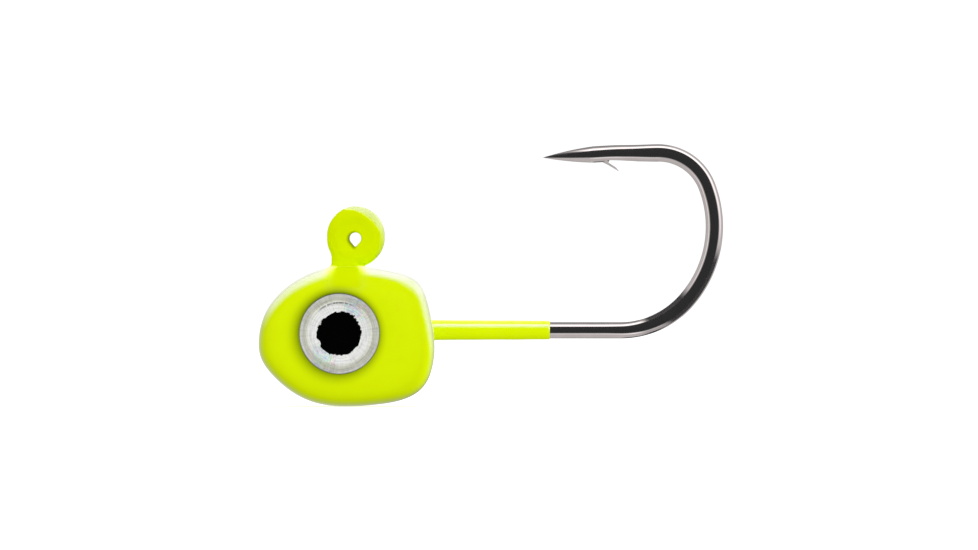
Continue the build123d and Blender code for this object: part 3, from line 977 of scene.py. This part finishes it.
def make_pupil(name, side, material, random):
    """A printed disc whose edge is stepped and ragged like a coarse dot print."""
    turn = np.linspace(0, 2 * pi, PUPIL_STEPS, endpoint=False)
    place = (turn / (2 * pi) * PUPIL_TEETH + 0.25 * np.sin(7 * turn)) % PUPIL_TEETH
    level = random.uniform(0.0, 1.0, PUPIL_TEETH)[place.astype(int)]
    nick = random.uniform(0.0, 1.0, 3 * PUPIL_TEETH)[(3 * place).astype(int)] ** 2
    # Roughest towards the upper right and the lower left
    rough = 0.45 + 0.55 * np.cos(turn - radians(40)) ** 2
    edge = PUPIL_R - 0.11 + (0.17 * level - 0.10 * nick + 0.05) * rough
    base, top = FOIL_TOP - 0.01, FOIL_TOP + 0.035
    rows = [(0.995, base), (1.0, base + 0.01), (1.0, top - 0.01), (0.995, top), (0.5, top + 0.002)]
    points, faces = lathe([(share * edge, height) for share, height in rows], side, PUPIL_STEPS)
    pupil = new_piece(f"{name}_eye_pupil_print", points, faces, material)
    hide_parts(f"{name}_eye_pupil")
    return sharpen(outward(pupil), 40)


def make_dome(name, side, material):
    """A clear cap: short upright edge, full shoulder and a gently crowned top, bonded to the foil."""
    edge_top = FOIL_TOP + DOME_EDGE
    base = FOIL_TOP - 0.008
    rim = EYE_R - DOME_GAP
    profile = [(HUB_R, base), (rim - 0.05, base), (rim - 0.01, base + 0.02), (rim, base + 0.06)]
    for t in np.linspace(0, 1, 34):
        radius = rim * cos(t * pi / 2) ** 0.42
        share = (1 - (radius / rim) ** DOME_FULL) ** (1 / DOME_CROWN)
        profile.append((max(radius, 0.02), edge_top + (DOME_TOP - edge_top) * share))
    points, faces = lathe(profile, side)
    dome = new_piece(f"{name}_eye_dome_cap", points, faces, material)
    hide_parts(f"{name}_eye_dome")
    return sharpen(outward(dome), 60)


# -------- stage, light and camera

FLOOR_HALF_M = 3.0


def stage_mesh(name, material, shape, **settings):
    """A part of the studio, from one of bmesh's own shapes."""
    mesh = bpy.data.meshes.new(name)
    work = bmesh.new()
    shape(work, **settings)
    work.to_mesh(mesh)
    work.free()
    mesh.materials.append(material)
    thing = new_object(name, mesh)
    return thing


def make_floor():
    """A level sheet under the object, seen by the camera only."""
    segments = {"x_segments": 8, "y_segments": 8}
    floor = stage_mesh("floor", floor_material(), bmesh.ops.create_grid, size=FLOOR_HALF_M, **segments)
    floor.location.z = cad_box[0].z
    hide_from(floor, "glossy", "diffuse", "transmission")


def make_world():
    """White to the camera, soft all round for diffuse and refracted light, dark in reflections."""
    world = bpy.data.worlds.new("studio")
    bpy.context.scene.world = world
    world.use_nodes = True
    tree = world.node_tree
    tree.nodes.clear()
    direction = add_node(tree, "TexCoord").outputs["Generated"]
    up = add_node(tree, "SeparateXYZ", {0: direction}).outputs["Z"]
    height = plus(tree, product(tree, up, 0.5), 0.5)
    around = ramp(tree, height, [(0.0, 0.55), (0.35, 0.72), (0.5, 0.90), (1.0, 0.92)])
    soft = result(tree, "Background", {"Color": around, "Strength": 1.0})
    dark = result(tree, "Background", {"Color": (1, 1, 1, 1), "Strength": 0.012})
    white = result(tree, "Background", {"Color": (1, 1, 1, 1), "Strength": 1.05})
    path = add_node(tree, "LightPath").outputs
    mirrored = maths(tree, "SUBTRACT", path["Is Glossy Ray"], path["Is Transmission Ray"], clamp=True)
    lit = mix_shaders(tree, mirrored, soft, dark)
    shown = mix_shaders(tree, path["Is Camera Ray"], lit, white)
    output = add_node(tree, "OutputWorld")
    tree.links.new(shown, output.inputs["Surface"])
    world.cycles.sampling_method = "NONE"


def paint_reflections(tree, polar, azimuth):
    """The overhead panel, and dim walls behind."""
    glow = [(40, 0.85), (60, 1.0), (90, 1.0), (120, 0.60), (144, 0.22)]
    glow = depth_ramp(tree, polar, *glow, (160, 0.085), (170, 0.055), (180, 0.05))
    panel = product(tree, overhead_panel(tree, polar, azimuth), glow, PANEL_STRENGTH)
    wall = depth_ramp(tree, polar, (90, 0.0), (120, 0.50), (150, 0.70), (180, 0.60))
    lower_right = round_ramp(tree, azimuth, (-95, 1.0), (-60, 0.35), (5, 0.35), (30, 1.0))
    return plus(tree, panel, product(tree, wall, lower_right))


def metal_reflections(tree, polar, azimuth):
    """Grey walls with two dark gaps, bright strips above and below, and a dark front."""

    def turned(*table):
        return round_ramp(tree, azimuth, *table)

    def away(*table):
        return depth_ramp(tree, polar, *table)

    start = turned((-180, 0.19), (-20, 0.20), (10, 0.24), (60, 0.29), (100, 0.30), (130, 0.22), (180, 0.19))
    past_start = maths(tree, "SUBTRACT", polar, start)
    inside = maths(tree, "MULTIPLY", past_start, WALL_SLOPE, clamp=True)
    wall = away((36, 0.85), (52, 0.62), (66, 0.46), (110, 0.46), (150, 0.36))
    gaps = [(-76, 1.0), (-70, 0.03), (-16, 0.03), (-9, 1.0), (103, 1.0), (108, 0.05), (137, 0.05), (143, 1.0)]
    gaps = turned(*gaps)
    strip = away((52, 0.0), (58, 1.0), (84, 1.0), (92, 0.0))
    side = turned((-9, 0.0), (0, 0.45), (30, 0.9), (60, 1.0), (101, 1.0), (106, 0.0))
    eave = turned((74, 0.0), (82, 1.0), (100, 1.0), (106, 0.0))
    shade = product(tree, eave, away((96, 0.0), (106, 0.42), (128, 0.42), (140, 0.70)))
    low = turned((-88, 0.0), (-84, 1.0), (-60, 1.0), (-55, 0.0))
    wedge = product(tree, low, away((116, 0.0), (126, 0.9)))
    band = product(tree, low, away((58, 0.0), (62, 0.36), (96, 0.36), (102, 0.0)), one_minus(tree, gaps))
    walls = product(tree, inside, wall, gaps, one_minus(tree, shade), one_minus(tree, wedge))
    walls = plus(tree, walls, band)
    low_side = turned((-92, 0.0), (-80, 1.0), (-62, 1.0), (-56, 0.0))
    low_strip = away((38, 0.0), (43, 1.0), (54, 1.0), (60, 0.0))
    strips = plus(tree, product(tree, strip, side, 0.85), product(tree, low_strip, low_side, 0.75))
    outer = turned((-66, 0.0), (-58, 1.0), (-16, 1.0), (-9, 0.0))
    fringe = product(tree, outer, away((104, 0.0), (114, 0.40)))
    inner = turned((-180, 1.0), (-150, 1.0), (-125, 0.0), (140, 0.0), (150, 1.0), (180, 1.0))
    streak = product(tree, inner, away((50, 0.0), (54, 0.35), (62, 0.35), (67, 0.0)))
    return plus(tree, plus(tree, walls, strips), plus(tree, fringe, streak))


def make_reflections(name, radius, receivers, brightness):
    """A closed surround that only the receivers mirror. It lights nothing else and isn't seen."""
    material, tree = new_material(f"{name}_cloth")
    place = add_node(tree, "TexCoord").outputs["Object"]
    direction = result(tree, "VectorMath", {0: place}, operation="NORMALIZE")
    strength = brightness(tree, *polar_and_azimuth(tree, direction))
    light = result(tree, "Emission", {"Strength": strength})
    clear = result(tree, "BsdfTransparent")
    finish_material(material, result(tree, "AddShader", {0: light, 1: clear}))
    material.cycles.emission_sampling = "NONE"
    surround = stage_mesh(name, material, bmesh.ops.create_icosphere, subdivisions=4, radius=radius)
    surround.location = Vector((EYE_X, 0, EYE_Z)) * MM
    hide_from(surround, "camera", "diffuse", "transmission", "volume_scatter", "shadow")
    mirrored_in = bpy.data.collections.new(f"{name}_receivers")
    for receiver in receivers:
        mirrored_in.objects.link(receiver)
    surround.light_linking.receiver_collection = mirrored_in


def make_light(name, place_mm, target_mm, size_mm, power):
    """A soft square panel that lights surfaces but isn't reflected in them."""
    data = bpy.data.lights.new(name, "AREA")
    data.size = size_mm * MM
    data.energy = power
    lamp = new_object(name, data)
    lamp.location = Vector(place_mm) * MM
    lamp.rotation_euler = (Vector(target_mm) - Vector(place_mm)).to_track_quat("-Z", "Y").to_euler()
    hide_from(lamp, "glossy", "camera")


PICTURE_WIDTH_MM = 73.35
CAMERA_DISTANCE_MM = 1400.0
PICTURE_MIDDLE = (10.02, -2.75)  # in x and z


def make_camera():
    """A long lens square to the side, so that the picture is nearly parallel."""
    data = bpy.data.cameras.new("camera")
    data.sensor_width = 36.0
    data.lens = data.sensor_width * CAMERA_DISTANCE_MM / PICTURE_WIDTH_MM
    data.clip_start, data.clip_end = 0.05, 20.0
    camera = new_object("camera", data)
    camera.location = Vector((PICTURE_MIDDLE[0], -CAMERA_DISTANCE_MM, PICTURE_MIDDLE[1])) * MM
    camera.rotation_euler = (radians(90), 0, 0)
    bpy.context.scene.camera = camera


# -------- build

paint = make_paint(paint_material())
other_pieces = [make_hook(hook_material())]
foil, pupil, dome = foil_material(), pupil_material(), dome_material()
for name, side in (("left", LEFT), ("right", RIGHT)):
    other_pieces.append(make_foil(name, side, foil))
    other_pieces.append(make_pupil(name, side, pupil, np.random.default_rng(PUPIL_SEED + side)))
    other_pieces.append(make_dome(name, side, dome))

carried_over = dict.fromkeys(("left_eye_adhesive", "right_eye_adhesive"), adhesive_material())
carried_over["head_casting"] = lead_material()
for node, material in carried_over.items():
    frame["nodes"][node].data.materials[0] = material

for piece in (paint, other_pieces[0], *(frame["nodes"][node] for node in carried_over)):
    hide_from(piece, "glossy")  # bright surfaces mirror the studio only

make_floor()
make_world()
make_reflections("paint_panels", 1.0, [paint], paint_reflections)
make_reflections("metal_panels", 1.2, other_pieces, metal_reflections)
make_light("key", place_mm=(150, -500, 160), target_mm=(0, 0, -6), size_mm=260, power=0.55)
make_camera()
bpy.context.scene.view_settings.view_transform = "Standard"
